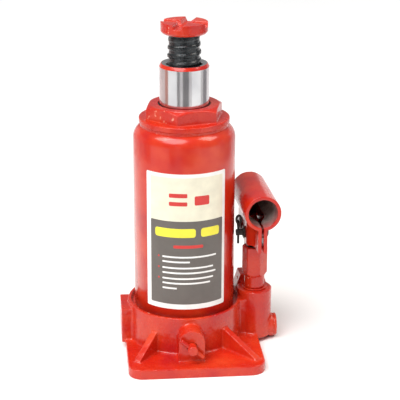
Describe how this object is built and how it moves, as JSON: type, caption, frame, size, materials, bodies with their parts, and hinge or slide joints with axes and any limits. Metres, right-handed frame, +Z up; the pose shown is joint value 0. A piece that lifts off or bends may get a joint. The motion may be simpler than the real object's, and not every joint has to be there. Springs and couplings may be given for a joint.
{
  "type": "hydraulic bottle jack",
  "caption": "Upright hydraulic bottle jack with a hand pump, an extension screw with a grooved saddle, a release valve and a flat ribbed base.",
  "frame": {"origin": "on the axis of the ram, in the plane of the underside of the base", "axes": "+Z up along the ram, +X from the ram towards the pump, -Y towards the release valve and the open end of the handle socket"},
  "size_m": [0.1401, 0.1415, 0.2911],
  "materials": {
    "red_enamel": "gloss",
    "ground_steel": "ground and polished",
    "plain_steel": "turned",
    "dark_steel": "blackened and oiled",
    "spring_steel": "drawn",
    "copper": "soft copper",
    "bronze": "turned",
    "black_rubber": "satin",
    "label_vinyl": "satin print"
  },
  "bodies": {
    "base": {"base_casting": "red_enamel", "reservoir_tank": "red_enamel", "tank_seal": "black_rubber", "tank_top_gasket": "black_rubber", "cylinder_gasket": "copper", "oil_filler_plug": "black_rubber", "label": "label_vinyl", "pressure_cylinder": "plain_steel", "top_nut": "red_enamel", "ram_o_ring": "black_rubber", "ram_wiper": "black_rubber", "pump_cylinder": "red_enamel", "pump_gasket": "red_enamel", "plunger_wiper": "black_rubber", "link_base_pin": "red_enamel", "inlet_ball": "plain_steel", "outlet_ball": "plain_steel", "outlet_spring": "spring_steel", "valve_plug": "red_enamel", "oil_filter": "dark_steel", "overload_ball": "plain_steel", "overload_spring": "spring_steel", "overload_screw": "red_enamel"},
    "ram": {"ram": "ground_steel", "piston": "ground_steel", "piston_cup_seal": "black_rubber", "piston_guide_ring": "bronze"},
    "stop_ring": {"screw_stop_ring": "spring_steel"},
    "screw": {"extension_screw": "dark_steel", "saddle": "red_enamel"},
    "plunger": {"pump_plunger": "ground_steel", "plunger_seal": "black_rubber", "plunger_pin": "dark_steel", "plunger_pin_washer": "dark_steel", "plunger_split_pin": "dark_steel"},
    "link": {"link": "red_enamel", "link_top_pin": "dark_steel", "link_top_pin_clip": "dark_steel"},
    "socket": {"handle_socket": "red_enamel", "socket_end_plug": "dark_steel"},
    "release_ball": {"release_ball": "plain_steel"},
    "release_valve": {"release_valve_screw": "red_enamel", "release_cross_pin": "red_enamel", "release_o_ring": "black_rubber"}
  },
  "joints": [
    {"name": "ram_lift", "type": "slide", "parent": "base", "child": "ram", "axis": [0, 0, 1], "range_m": [-0.034, 0.116]},
    {"name": "screw_lift", "type": "slide", "parent": "ram", "child": "stop_ring", "axis": [0, 0, 1], "range_m": [-0.0251, 0.0551]},
    {"name": "screw_turn", "type": "hinge", "parent": "stop_ring", "child": "screw", "pos_m": [0, 0, 0.2556], "axis": [0, 0, 1], "range_deg": [-1280, 2820]},
    {"name": "plunger_stroke", "type": "slide", "parent": "base", "child": "plunger", "axis": [0, 0, 1], "range_m": [-0.0018, 0.0145]},
    {"name": "link_swing", "type": "hinge", "parent": "base", "child": "link", "pos_m": [0.06195, 0.01997, 0.047], "axis": [0.9986, 0.0523, 0], "range_deg": [-0.8, 5.8]},
    {"name": "socket_pivot", "type": "hinge", "parent": "link", "child": "socket", "pos_m": [0.06195, 0.01997, 0.1015], "axis": [-0.9986, -0.0523, 0], "range_deg": [-5.5, 50]},
    {"name": "release_valve_travel", "type": "slide", "parent": "base", "child": "release_ball", "axis": [0, -1, 0], "range_m": [0, 0.00152]},
    {"name": "release_valve_turn", "type": "hinge", "parent": "release_ball", "child": "release_valve", "pos_m": [0.0014, -0.069, 0.022], "axis": [0, -1, 0], "range_deg": [0, 360]}
  ],
  "couplings": [
    {"joint": "screw_lift", "follows": "screw_turn", "m_per_rad": 0.0011141},
    {"joint": "plunger_stroke", "follows": "socket_pivot", "m_per_rad": 0.01622},
    {"joint": "link_swing", "follows": "socket_pivot", "ratio": 0.1121},
    {"joint": "release_valve_travel", "follows": "release_valve_turn", "m_per_rad": 0.00023873}
  ]
}
